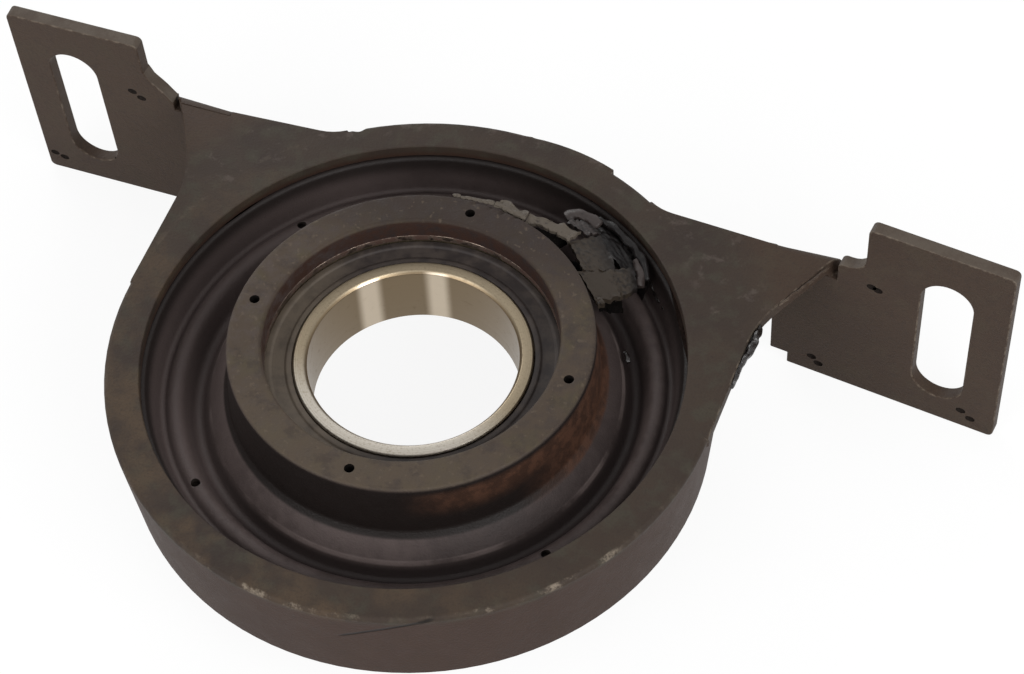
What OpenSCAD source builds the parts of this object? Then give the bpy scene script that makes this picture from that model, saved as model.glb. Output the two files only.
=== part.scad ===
// Driveshaft centre bearing: a slotted steel bracket that carries a sealed ball bearing in rubber.
// Millimetres. The origin lies on the shaft axis at the middle of the bearing. +Z leaves the open
// front, +X runs along the two ears, and +Y points at the vehicle floor that the ears bolt to.

/* [Bearing] */
// Bore that takes the shaft
bore_d = 40; // [37:0.5:43]
// Outside diameter of the outer race
bearing_d = 62; // [59:0.5:66]
// Width of both races
bearing_w = 14; // [12.5:0.5:20]
// Diameter of a ball, as a share of the height between the bore and the outside
ball_share = 0.6; // [0.5:0.01:0.64]
// Number of balls in the cage
ball_count = 14; // [9:1:15]
// Distance from the ball circle to the shoulder of each race, as a share of the ball's diameter
shoulder_share = 0.28; // [0.24:0.01:0.34]
// Step from the inner shoulder down to the land under a seal lip
land_drop = 0.9; // [0.5:0.1:1.1]
// Depth of the seat that a seal snaps into
seat_depth = 0.9; // [0.5:0.1:1.2]
// Chamfer on the outer corners and bore edges of the races
race_chamfer = 0.6; // [0.3:0.1:0.9]
// Thickness of a seal
seal_t = 1; // [0.7:0.1:1.3]
// Depth of the dish in a seal's face
seal_dish = 0.3; // [0.1:0.05:0.5]
// Width of the raised edges of a seal
seal_edge_w = 1.2; // [0.6:0.1:1.6]
// How far a seal sits below the race faces
seal_recess = 0.5; // [0.2:0.1:0.8]

/* [Cage] */
// Sheet of the two pressed cage halves
cage_t = 0.7; // [0.4:0.1:0.9]
// Width of the cage ribbon, as a share of the gap between the shoulders
cage_share = 0.7; // [0.55:0.01:0.8]
// Shank of a cage rivet
rivet_d = 1.4; // [1:0.1:1.6]
// Head of a cage rivet
rivet_head_d = 1.9; // [1.7:0.1:2.2]
// Height of a rivet head
rivet_head_h = 0.4; // [0.2:0.1:0.6]

/* [Carrier sleeve] */
// Sheet of the steel sleeve round the bearing
carrier_t = 1.5; // [1:0.1:2]
// Width of the front flange that the outer race butts against
flange_w = 3.1; // [2.4:0.1:3.4]
// Width of the rear edge that is rolled in behind the outer race
stake_w = 1.3; // [0.8:0.1:1.8]

/* [Rubber mount] */
// Rubber in front of the sleeve's flange
nose_front_t = 4.6; // [4:0.1:7]
// Rubber round the outside of the sleeve
nose_side_t = 1.95; // [1.5:0.05:3]
// How much the nose widens from its front edge to its foot
nose_flare = 0.9; // [0:0.1:2]
// Height of the nose wall, from its front edge to its foot
nose_wall_h = 11.9; // [9:0.1:13]
// Width of the slope between the nose and the crest, as a share of the folded wall's span
slope_share = 0.256; // [0.2:0.002:0.29]
// Steepness of that slope
slope_fall = 1.1; // [0.8:0.02:1.3]
// Distance from the crest to the bottom of the valley, as a share of the span
valley_share = 0.17; // [0.14:0.002:0.2]
// Steepness of the valley's inner side
valley_fall = 1.7; // [1.2:0.02:1.9]
// Distance from the bottom of the valley to the top of the ridge, as a share of the span
ridge_share = 0.223; // [0.19:0.002:0.25]
// Steepness of the ridge's inner side
ridge_rise = 2.24; // [1.8:0.02:2.4]
// Distance from the top of the ridge to the bottom of the outer groove, as a share of the span
groove_share = 0.203; // [0.2:0.001:0.22]
// Steepness of the ridge's outer side
groove_fall = 1.1; // [0.9:0.02:1.2]
// Thickness of the folded rubber wall, measured along the shaft
skin_t = 5; // [4:0.1:5.6]
// How far the underside of a fold lies outside its top side
skin_shift = 0.7; // [0:0.1:1]
// How far the bonded band stands inside the face opening
band_lip = 0.6; // [0.2:0.1:1.2]
// How far the bonded band stops short of the rim's back edge
band_recess = 1.5; // [0.5:0.1:4]
// Radius on the front edges of the nose
nose_edge_r = 0.7; // [0.2:0.1:1]
// Radius at the foot of the nose
foot_r = 1.5; // [0.5:0.1:2]
// Radius on the crest
crest_r = 0.6; // [0.2:0.1:1]
// Radius of the valley and of the folds on the back, as a share of the span
soft_share = 0.085; // [0.04:0.005:0.095]
// Radius on top of the ridge, as a share of the span
ridge_soft_share = 0.13; // [0.06:0.005:0.13]
// Radius of the outer groove, as a share of the span
groove_soft_share = 0.055; // [0.03:0.005:0.055]
// Diameter of the four pin holes in the nose
pin_hole_d = 2; // [1:0.1:3]
// Depth of those holes
pin_hole_depth = 3.2; // [1:0.1:3.6]
// Diameter of the four mould marks along the ridge
mark_d = 1.8; // [1:0.1:2.4]
// Depth of those marks below the ridge's corner, measured before its rounding
mark_depth = 2.6; // [1.6:0.1:3]
// How far the marks lie outside the top of the ridge
mark_shift = 0.7; // [0:0.1:1.2]
// Angle of the first mark; the others follow a quarter turn apart
mark_from = 52; // [0:1:89]

/* [Bracket] */
// Thickness of the steel sheet
sheet_t = 2.8; // [2.5:0.1:3.2]
// Diameter of the rim at the front
rim_d = 116.5; // [113:0.5:125]
// Depth of the rim behind the front face
rim_depth = 21.5; // [18:0.5:28]
// How much the radius of the rim shrinks towards the back
rim_taper = 2; // [0:0.1:3]
// Width of the flat face round the opening
face_w = 6.75; // [5:0.05:7]
// Height of the front face above the middle of the bearing
face_z = 7.5; // [6:0.1:9]
// Radius along the front edge of the rim
rim_edge_r = 1; // [0.4:0.1:2]
// Extra radius of the rim's front edge beside the right web
top_lip = 0.5; // [0.2:0.1:2]
// Angle at which that lip starts
top_lip_from = 69; // [62:1:80]
// Angle at which that lip has faded out
top_lip_to = 100; // [90:1:124]
// How far the centre of the lip's arc lies off the shaft axis, which makes it fade
top_lip_shift = 14; // [5:0.5:20]
// How far the webs stand outside the rim where they flare out to the ears
web_side = 0.3; // [0.2:0.1:3]
// Height above the shaft axis of that flare
web_foot_y = 27.7; // [24:0.1:32]
// Radius of the flare
web_flare_r = 25; // [10:1:30]
// Radius where the top edge of a web runs into the rim
web_join_r = 10; // [3:0.5:12]
// How far the top edge of a web lies below the ear's bolting face
web_drop = 2.1; // [1:0.1:3]
// Fall of that edge from the rim to the ear, in degrees
web_fall = 3; // [0:0.5:5]

/* [Ears] */
// Distance between the centres of the two slots
slot_span = 184; // [178:0.5:196]
// Width of a slot
slot_w = 10.5; // [8:0.5:13]
// Length of a slot, end to end
slot_l = 34; // [20:0.5:38]
// How far the slot lies behind the middle of an ear
slot_back = 1.1; // [0:0.1:3]
// Height of the ears' bolting faces above the shaft axis, where they leave the webs
ear_top_y = 48.2; // [46:0.1:50]
// How much higher the right ear stands, and how much lower the left one
ear_skew = 0.8; // [0:0.1:1.2]
// Length of an ear along the shaft
ear_l = 49.1; // [42:0.1:56]
// How far an ear reaches in front of the bracket's face
ear_front = 14.3; // [11:0.1:18]
// Distance from the slot's centre to the outer end of an ear
slot_to_end = 12.5; // [9:0.1:16]
// Distance from the slot's centre to the inner edge of the ear's front part
slot_to_step = 16.6; // [13:0.1:19]
// Gap between the web's tip and the front part of an ear
ear_notch_w = 5.5; // [4:0.1:7]
// How far the bottom of that gap lies in front of the bracket's face
ear_notch_rise = 1.5; // [0.5:0.1:3]
// Fillet in that gap
ear_notch_r = 3.6; // [1:0.1:5]
// Length of the fold between a web and its ear
fold_l = 12.9; // [10:0.1:16]
// Outside radius of the fold
fold_r = 3.6; // [3.3:0.1:4.5]
// Width of the notch at the back inner corner of an ear
ear_nick_w = 3.7; // [1:0.1:6]
// Length of that notch along the shaft
ear_nick_l = 3; // [1:0.1:6]
// Radius on the free corners of an ear
ear_corner_r = 1.2; // [0.2:0.1:3]
// How far the left ear is knocked down out of true, in degrees
left_sag = 0; // [0:0.5:7]
// How far the right ear is knocked down out of true, in degrees
right_sag = 6.5; // [0:0.5:7]
// How far the left ear is twisted with its back end up, in degrees
left_twist = 3; // [0:0.5:4]

/* [Tear] */
// Angle at which the torn sector of the rubber starts
tear_from = 34; // [25:1:40]
// Angle at which the torn sector ends
tear_to = 86; // [70:1:95]
// Thickness of the torn skin
flap_t = 1.7; // [1:0.1:2.4]
// Depth of the pocket that is ripped out under the skin
tear_depth = 1.6; // [0.5:0.1:2]

/* [Clearances] */
// Between the rubber and the steel that it is bonded to
bond_gap = 0.1; // [0.05:0.05:0.2]
// Between pieces that are pressed or riveted together
press_gap = 0.05; // [0.02:0.01:0.1]
// Between a ball and the race grooves
race_gap = 0.1; // [0.05:0.05:0.2]
// Between a ball and its cage pocket
pocket_gap = 0.2; // [0.1:0.05:0.3]
// Between a seal lip and the inner race
lip_gap = 0.15; // [0.1:0.05:0.3]

/* [Hidden] */
$fn = 96;
arc_steps = 6;
over = 1;
bore_r = bore_d / 2;
bearing_r = bearing_d / 2;
half_w = bearing_w / 2;
ball_d = ball_share * (bearing_r - bore_r);
ball_r = ball_d / 2;
pitch_r = (bore_r + bearing_r) / 2;
ball_step = 360 / ball_count;
shoulder_gap = shoulder_share * ball_d;
cage_w = cage_share * 2 * shoulder_gap;
inner_shoulder_r = pitch_r - shoulder_gap;
outer_shoulder_r = pitch_r + shoulder_gap;
land_r = inner_shoulder_r - land_drop;
seat_r = outer_shoulder_r + seat_depth;
seal_out_z = half_w - seal_recess;
seal_in_z = seal_out_z - seal_t;

sleeve_in_r = bearing_r + press_gap;
sleeve_out_r = sleeve_in_r + carrier_t;
flange_r = bearing_r - flange_w;
flange_back_z = half_w + press_gap;
flange_front_z = flange_back_z + carrier_t;
stake_front_z = -half_w - press_gap;
stake_back_z = stake_front_z - carrier_t;

nose_r = sleeve_out_r + nose_side_t;
nose_z = flange_front_z + nose_front_t;
pin_circle_r = (flange_r + nose_r) / 2;
rim_r = rim_d / 2;
rim_back_z = face_z - rim_depth;
opening_r = rim_r - face_w;
plate_back_z = face_z - sheet_t;
band_top_z = plate_back_z - bond_gap;
band_end_z = rim_back_z + band_recess;
band_in_r = opening_r - band_lip;

foot = [nose_r + nose_flare, nose_z - nose_wall_h];
fold_span = band_in_r - foot.x;
slope_w = slope_share * fold_span;
crest = foot + slope_w * [1, -slope_fall];
valley = crest + valley_share * fold_span * [1, -valley_fall];
ridge = valley + ridge_share * fold_span * [1, ridge_rise];
groove = ridge + groove_share * fold_span * [1, -groove_fall];
skin = [skin_shift, -skin_t];
soft_r = soft_share * fold_span;
ridge_soft_r = ridge_soft_share * fold_span;
groove_soft_r = groove_soft_share * fold_span;
tear_sector = tear_to - tear_from;

slot_x = slot_span / 2;
step_x = slot_x - slot_to_step;
tip_x = step_x - ear_notch_w;
ear_in_x = tip_x - fold_l;
ear_out_x = slot_x + slot_to_end;
ear_front_z = face_z + ear_front;
ear_back_z = ear_front_z - ear_l;
slot_z = (ear_front_z + ear_back_z) / 2 - slot_back;
fold_z = face_z - fold_r;
fold_lap = 0.1 * fold_r;
right_top_y = ear_top_y + ear_skew;
left_top_y = ear_top_y - ear_skew;
web_x = rim_r + web_side;
top_lip_ends = [top_lip_from, (top_lip_from + top_lip_to) / 2, top_lip_to];

// Where the torn skin is rooted in the rubber, measured from the ridge
flap_root = [1.3, -3.6];
// Torn skin, from the ragged end on: where each piece starts and ends in the torn sector, and how
// far its inner edge lies from the nose's front edge and its outer bend from the ridge
flaps = [
    [0.08, 0.3, [1.8, -2.2], [1.7, 2.6]],
    [0.28, 0.52, [2.2, -2], [2.6, 4.2]],
    [0.5, 0.7, [3, -2.6], [1.5, 4.6]]
];

// Name of a ball, with its number in two digits
function ball_name(i) = str("ball_", i < 10 ? "0" : "", i);

function unit(v) = v / norm(v);

function direction(a) = [cos(a), sin(a)];

// Length of the fold at a depth below the bolting face, up to the line of the web's outer edge
function fold_reach(top_y, depth) = fold_l - (depth + fold_lap) * (tip_x - web_x) / (top_y - web_foot_y);

// Inside radius of the tapered rim at a height
function rim_in_r(z) = rim_r - sheet_t - rim_taper * (face_z - z) / rim_depth;

// An outline given as [x, y, radius] corners, with each corner turned into an arc of that radius
function rounded(corners) = [
    for (i = [0:len(corners) - 1]) each corner_arc(
        corners[(i + len(corners) - 1) % len(corners)], corners[i], corners[(i + 1) % len(corners)])
];

function corner_arc(before, here, after) =
    let (p = [here.x, here.y], r = here[2])
    r == 0 ? [p] :
    let (
        u = unit([before.x, before.y] - p),
        v = unit([after.x, after.y] - p),
        half = acos(u * v) / 2,
        centre = p + unit(u + v) * r / sin(half),
        start = p + u * r / tan(half) - centre,
        sweep = (180 - 2 * half) * sign(u.y * v.x - u.x * v.y)
    )
    [for (k = [0:arc_steps]) centre + turned(start, sweep * k / arc_steps)];

function turned(v, a) = [v.x * cos(a) - v.y * sin(a), v.x * sin(a) + v.y * cos(a)];

module revolve(corners) {
    rotate_extrude() polygon(rounded(corners));
}

module at_balls() {
    for (i = [0:ball_count - 1]) {
        rotate([0, 0, i * ball_step]) translate([pitch_r, 0, 0]) children();
    }
}

module between_balls() {
    for (i = [0:ball_count - 1]) {
        rotate([0, 0, (i + 0.5) * ball_step]) translate([pitch_r, 0, 0]) children();
    }
}

// Flat outline of the face and both webs
module plate_outline() {
    difference() {
        union() {
            circle(rim_r - rim_edge_r);
            intersection() {
                translate(top_lip_shift * direction(top_lip_from)) circle(rim_r + top_lip - top_lip_shift);
                polygon([[0, 0], for (a = top_lip_ends) 2 * rim_r * direction(a)]);
            }
            web_outline(right_top_y, right_sag);
            mirror([1, 0]) web_outline(left_top_y, left_sag);
        }
        circle(opening_r);
    }
}

// The right web, up to the fold of an ear whose bolting face and sag are given
module web_outline(top_y, sag) {
    flare = [web_x, web_foot_y];
    tangent_a = atan2(flare.y, flare.x) - acos(rim_r / norm(flare));
    lap_depth = fold_r - fold_lap;
    fold_foot = [ear_in_x, top_y] + turned([fold_reach(top_y, lap_depth), -lap_depth], -sag);
    edge_y = top_y - web_drop;
    middle_y = edge_y + ear_in_x * tan(web_fall);
    polygon(rounded([
        [0, 0, 0],
        [rim_r * cos(tangent_a), rim_r * sin(tangent_a), 0],
        [flare.x, flare.y, web_flare_r],
        [fold_foot.x, fold_foot.y, 0],
        [ear_in_x, top_y - lap_depth, 0],
        [ear_in_x, edge_y, 0],
        [0, middle_y, 0]
    ]));
    rotate([0, 0, -web_fall]) web_join(middle_y * cos(web_fall));
}

// The filled corner between the rim and a level edge at a height
module web_join(edge_y) {
    join_y = edge_y + web_join_r;
    join_x = sqrt(pow(rim_r + web_join_r, 2) - pow(join_y, 2));
    on_rim = [join_x, join_y] * rim_r / (rim_r + web_join_r);
    difference() {
        polygon([[0, 0], [join_x, edge_y - over], [join_x, edge_y], on_rim]);
        translate([join_x, join_y]) circle(web_join_r);
    }
}

// Flat outline of the right ear, seen from above: x along the ears, y along the shaft
module ear_outline() {
    notch_z = face_z + ear_notch_rise;
    notch_r = min(ear_notch_r, 0.95 * ear_notch_w - ear_corner_r);
    polygon(rounded([
        [ear_in_x, fold_z, 0],
        [tip_x, fold_z, 0],
        [tip_x, notch_z, ear_corner_r],
        [step_x, notch_z, notch_r],
        [step_x, ear_front_z, ear_corner_r],
        [ear_out_x, ear_front_z, ear_corner_r],
        [ear_out_x, ear_back_z, ear_corner_r],
        [ear_in_x + ear_nick_w, ear_back_z, 0],
        [ear_in_x + ear_nick_w, ear_back_z + ear_nick_l, 0],
        [ear_in_x, ear_back_z + ear_nick_l, 0]
    ]));
}

module slot_outline() {
    end_z = (slot_l - slot_w) / 2;
    for (side = [-1, 1]) translate([slot_x, slot_z + side * end_z]) circle(d = slot_w);
    translate([slot_x - slot_w / 2, slot_z - end_z]) square([slot_w, 2 * end_z]);
}

// Bend between the right web and its ear, cut off in line with the web's outer edge
module ear_fold(top_y) {
    intersection() {
        translate([ear_in_x, top_y - fold_r, fold_z]) rotate([0, 90, 0]) rotate([0, 0, 90]) {
            rotate_extrude(angle = 90) translate([fold_r - sheet_t, 0]) square([sheet_t, fold_l]);
        }
        translate([ear_in_x, top_y, fold_z - over]) linear_extrude(fold_r + 2 * over) polygon([
            [-over, over],
            [fold_reach(top_y, -over), over],
            [fold_reach(top_y, fold_r + over), -fold_r - over],
            [-over, -fold_r - over]
        ]);
    }
}

// The right ear with its fold, turned down and twisted out of true about the fold's inner end
module ear(top_y, sag, twist) {
    pivot = [ear_in_x, top_y, face_z];
    translate(pivot) rotate([twist, 0, -sag]) translate(-pivot) {
        translate([0, top_y, 0]) rotate([90, 0, 0]) linear_extrude(sheet_t) {
            difference() {
                ear_outline();
                slot_outline();
            }
        }
        ear_fold(top_y);
    }
}

module bracket() {
    color("#4b453d") {
        translate([0, 0, plate_back_z]) linear_extrude(sheet_t) plate_outline();
        revolve([
            [opening_r, plate_back_z, 0],
            [opening_r, face_z, 0],
            [rim_r, face_z, rim_edge_r],
            [rim_r - rim_taper, rim_back_z, 0],
            [rim_r - rim_taper - sheet_t, rim_back_z, 0],
            [rim_in_r(plate_back_z), plate_back_z, 0]
        ]);
        ear(right_top_y, right_sag, 0);
        mirror([1, 0, 0]) ear(left_top_y, left_sag, left_twist);
    }
}

// Section of the rubber: nose, slope, crest, valley, ridge, groove and bonded band
module rubber_body() {
    under_slope = (foot + crest) / 2 + skin;
    under_groove = [groove.x + skin.x, band_end_z];
    revolve([
        [flange_r, nose_z, nose_edge_r],
        [nose_r, nose_z, nose_edge_r],
        [foot.x, foot.y, foot_r],
        [crest.x, crest.y, crest_r],
        [valley.x, valley.y, soft_r],
        [ridge.x, ridge.y, ridge_soft_r],
        [groove.x, groove.y, groove_soft_r],
        [band_in_r, band_top_z, 0],
        [rim_in_r(band_top_z) - bond_gap, band_top_z, 0],
        [rim_in_r(band_end_z) - bond_gap, band_end_z, 0],
        [under_groove.x, under_groove.y, 0],
        [ridge.x + skin.x, ridge.y + skin.y, soft_r],
        [valley.x + skin.x, valley.y + skin.y, soft_r],
        [under_slope.x, under_slope.y, soft_r],
        [nose_r, stake_back_z, 0],
        [sleeve_out_r + bond_gap, stake_back_z, 0],
        [sleeve_out_r + bond_gap, flange_front_z + bond_gap, 0],
        [flange_r, flange_front_z + bond_gap, 0]
    ]);
}

// One ragged piece of torn skin: it rises from the ridge to a bend and reaches back towards the nose
module flap(piece) {
    inner = [nose_r, nose_z] + piece[2];
    bend = ridge + piece[3];
    root = ridge + flap_root;
    sweep = (piece[1] - piece[0]) * tear_sector;
    rotate([0, 0, tear_from + piece[0] * tear_sector]) rotate_extrude(angle = sweep) polygon([
        inner, bend, root, root - [flap_t, 0], bend - [flap_t, flap_t], inner - [0, flap_t]
    ]);
}

module rubber_mount() {
    color("#26242a") {
        difference() {
            rubber_body();
            for (a = [0:90:270]) {
                rotate([0, 0, a]) translate([pin_circle_r, 0, nose_z - pin_hole_depth]) {
                    cylinder(d = pin_hole_d, h = pin_hole_depth + over);
                }
                rotate([0, 0, mark_from + a]) translate([ridge.x + mark_shift, 0, ridge.y - mark_depth]) {
                    cylinder(d = mark_d, h = mark_depth + over);
                }
            }
            rotate([0, 0, tear_from]) rotate_extrude(angle = tear_sector / 2) {
                translate([foot.x, crest.y - tear_depth]) square([slope_w, foot.y - crest.y + tear_depth]);
            }
        }
        for (piece = flaps) flap(piece);
    }
}

module carrier_sleeve() {
    bend_r = 0.6 * carrier_t;
    color("#7d766c") revolve([
        [flange_r, flange_back_z, 0],
        [flange_r, flange_front_z, 0],
        [sleeve_out_r, flange_front_z, bend_r],
        [sleeve_out_r, stake_back_z, bend_r],
        [bearing_r - stake_w, stake_back_z, 0],
        [bearing_r - stake_w, stake_front_z, 0],
        [sleeve_in_r, stake_front_z, 0],
        [sleeve_in_r, flange_back_z, 0]
    ]);
}

module ball_track() {
    rotate_extrude() translate([pitch_r, 0]) circle(ball_r + race_gap);
}

module outer_race() {
    c = race_chamfer;
    color("#c9c4b8") difference() {
        rotate_extrude() polygon([
            [seat_r, half_w], [bearing_r - c, half_w], [bearing_r, half_w - c],
            [bearing_r, c - half_w], [bearing_r - c, -half_w], [seat_r, -half_w],
            [seat_r, -seal_in_z], [outer_shoulder_r, -seal_in_z],
            [outer_shoulder_r, seal_in_z], [seat_r, seal_in_z]
        ]);
        ball_track();
    }
}

module inner_race() {
    c = race_chamfer;
    color("#ddd8cc") difference() {
        rotate_extrude() polygon([
            [bore_r, half_w - c], [bore_r + c, half_w], [land_r - c / 2, half_w], [land_r, half_w - c / 2],
            [land_r, seal_in_z], [inner_shoulder_r, seal_in_z],
            [inner_shoulder_r, -seal_in_z], [land_r, -seal_in_z],
            [land_r, c / 2 - half_w], [land_r - c / 2, -half_w], [bore_r + c, -half_w], [bore_r, c - half_w]
        ]);
        ball_track();
    }
}

// A rubber-faced seal: a rim that snaps into the outer race, a dished web and a lip on the land
module seal() {
    color("#2b2a2c") revolve([
        [land_r + lip_gap, seal_in_z + press_gap, 0],
        [seat_r - press_gap, seal_in_z + press_gap, 0],
        [seat_r - press_gap, seal_out_z, 0],
        [seat_r - seal_edge_w, seal_out_z, 0],
        [seat_r - seal_edge_w - seal_dish, seal_out_z - seal_dish, 0],
        [land_r + seal_edge_w + seal_dish, seal_out_z - seal_dish, 0],
        [land_r + seal_edge_w, seal_out_z, 0],
        [land_r + lip_gap, seal_out_z, 0]
    ]);
}

module front_seal() {
    seal();
}

module rear_seal() {
    mirror([0, 0, 1]) seal();
}

// Half of the ribbon cage: domes over the balls, joined by flats that are riveted to the other half
module cage_half() {
    pocket_r = ball_r + pocket_gap;
    dome_r = pocket_r + cage_t;
    rivet_hole_d = rivet_d + 2 * press_gap;
    color("#a49a86") difference() {
        intersection() {
            union() {
                cylinder(r = pitch_r + cage_w / 2, h = cage_t);
                at_balls() sphere(dome_r);
            }
            difference() {
                cylinder(r = pitch_r + cage_w / 2, h = dome_r + over);
                translate([0, 0, -over]) cylinder(r = pitch_r - cage_w / 2, h = dome_r + 3 * over);
            }
        }
        at_balls() sphere(pocket_r);
        between_balls() translate([0, 0, -over]) cylinder(d = rivet_hole_d, h = cage_t + 2 * over);
    }
}

module cage_front() {
    cage_half();
}

module cage_rear() {
    mirror([0, 0, 1]) cage_half();
}

module cage_rivets() {
    grip = 2 * cage_t;
    color("#8e877a") between_balls() {
        translate([0, 0, -grip / 2]) cylinder(d = rivet_d, h = grip);
        for (side = [0, 1]) mirror([0, 0, side]) {
            translate([0, 0, grip / 2]) cylinder(d = rivet_head_d, h = rivet_head_h);
        }
    }
}

module ball(i) {
    color("#e4e1da") rotate([0, 0, (i - 1) * ball_step]) translate([pitch_r, 0, 0]) sphere(ball_r);
}

bracket();
rubber_mount();
carrier_sleeve();
outer_race();
inner_race();
front_seal();
rear_seal();
cage_front();
cage_rear();
cage_rivets();
for (i = [1:ball_count]) {
    ball(i);
}
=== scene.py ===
# %% [markdown]
# # Dressing a driveshaft centre bearing
#
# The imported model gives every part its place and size. This script puts the looks on it: rounded
# and worn steel, torn rubber, a ground bearing ring, soft light and a camera. Everything is in the
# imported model's own frame: Z runs along the shaft, X along the two ears. Sizes on the part are written
# in millimetres, and MM turns them into Blender's metres.

# %% Load the frame
import math

import bmesh
import bpy
from mathutils import Matrix, Quaternion, Vector, noise


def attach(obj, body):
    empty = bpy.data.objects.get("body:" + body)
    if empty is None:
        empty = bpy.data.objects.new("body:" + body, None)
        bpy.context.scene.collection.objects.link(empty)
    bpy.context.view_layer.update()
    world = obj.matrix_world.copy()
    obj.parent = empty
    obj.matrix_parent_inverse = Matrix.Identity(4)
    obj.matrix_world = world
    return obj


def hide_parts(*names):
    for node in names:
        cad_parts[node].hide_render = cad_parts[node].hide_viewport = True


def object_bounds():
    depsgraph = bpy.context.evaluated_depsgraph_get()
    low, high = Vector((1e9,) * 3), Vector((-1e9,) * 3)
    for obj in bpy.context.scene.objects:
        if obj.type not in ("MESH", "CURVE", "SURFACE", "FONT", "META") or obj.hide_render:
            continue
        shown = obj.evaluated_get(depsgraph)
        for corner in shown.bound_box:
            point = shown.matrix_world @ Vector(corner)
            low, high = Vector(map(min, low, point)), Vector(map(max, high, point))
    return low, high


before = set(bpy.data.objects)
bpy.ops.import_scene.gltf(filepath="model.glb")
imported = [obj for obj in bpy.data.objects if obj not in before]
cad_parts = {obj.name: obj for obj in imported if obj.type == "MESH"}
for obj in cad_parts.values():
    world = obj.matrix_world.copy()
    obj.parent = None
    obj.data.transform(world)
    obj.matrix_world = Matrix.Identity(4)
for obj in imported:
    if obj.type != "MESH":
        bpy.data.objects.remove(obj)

CAD_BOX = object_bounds()
MM = 0.001
print("CAD box in mm:", [round((hi - lo) / MM, 1) for lo, hi in zip(*CAD_BOX)])

# %% [markdown]
# ## The camera
#
# The photograph looks down on the open front from the lower right. Such a camera could be placed by
# three free coordinates, but an aim point, two angles, a distance and a roll are easier to read and
# to change. The lens is long, so that the rim hardly widens towards the viewer.

# %% Place the camera
AIM = Vector((16.25, 9.75, 7.5)) * MM
AZIMUTH = math.radians(23.27)
ELEVATION = math.radians(52.85)
ROLL = math.radians(-3.8)
DISTANCE = 527.4 * MM
LENS = 98.6

scene = bpy.context.scene
scene.view_settings.view_transform = "Standard"
flat_reach = math.cos(ELEVATION)
towards_camera = Vector((
    math.sin(AZIMUTH) * flat_reach,
    -math.cos(AZIMUTH) * flat_reach,
    math.sin(ELEVATION),
))
camera = bpy.data.objects.new("camera", bpy.data.cameras.new("camera"))
scene.collection.objects.link(camera)
camera.data.lens = LENS
camera.location = AIM + towards_camera * DISTANCE
camera.rotation_mode = "QUATERNION"
level = (-towards_camera).to_track_quat("-Z", "Y")
camera.rotation_quaternion = level @ Quaternion((0, 0, 1), ROLL)
scene.camera = camera
print("camera at", [round(c / MM, 1) for c in camera.location], "mm")

# %% [markdown]
# ## Shader maths in plain Python
#
# A finish is a sum of patterns, and a sum is easier to read as a line of Python than as a chain of
# Math nodes. So one small class holds a socket, and its operators add the Math nodes. Its `node`
# method makes any other node: settings first, because some of them change the sockets.

# %% A socket that can be added and multiplied
class Wire:
    def __init__(self, tree, socket=None):
        self.tree = tree
        self.socket = socket

    def node(self, kind, settings=None, values=None, output=0):
        made = self.tree.nodes.new("ShaderNode" + kind)
        for name, value in (settings or {}).items():
            setattr(made, name, value)
        for name, value in (values or {}).items():
            if isinstance(value, Wire):
                self.tree.links.new(value.socket, made.inputs[name])
            else:
                made.inputs[name].default_value = value
        return Wire(self.tree, made.outputs[output])

    def maths(self, operation, first, second):
        return self.node("Math", {"operation": operation}, {0: first, 1: second})

    def __add__(self, other):
        return self.maths("ADD", self, other)

    def __radd__(self, other):
        return self.maths("ADD", other, self)

    def __sub__(self, other):
        return self.maths("SUBTRACT", self, other)

    def __rsub__(self, other):
        return self.maths("SUBTRACT", other, self)

    def __mul__(self, other):
        return self.maths("MULTIPLY", self, other)

    def __rmul__(self, other):
        return self.maths("MULTIPLY", other, self)

    def __pow__(self, other):
        return self.maths("POWER", self, other)


print("sockets can be added, subtracted, multiplied and raised to a power")

# %% [markdown]
# ## A finish and its patterns
#
# All finishes start the same way: coordinates in millimetres, the distance from the shaft axis, the
# angle round it, and one Principled shader. `Finish` keeps those together with the few patterns that
# every surface here is mixed from: cloudy noise, a soft step, and a colour blend. Object coordinates
# are used, because the pieces carry their place in their meshes and the pattern then stays on them.

# %% The base of every finish
def linear(level):
    """The light that a 0 to 255 screen value stands for, by the sRGB curve."""
    share = level / 255
    return ((share + 0.055) / 1.055) ** 2.4 if level > 10 else share / 12.92


def tone(red, green, blue):
    """A colour written as 0 to 255 screen values, turned into the linear values that sockets take."""
    return (linear(red), linear(green), linear(blue), 1)


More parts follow.
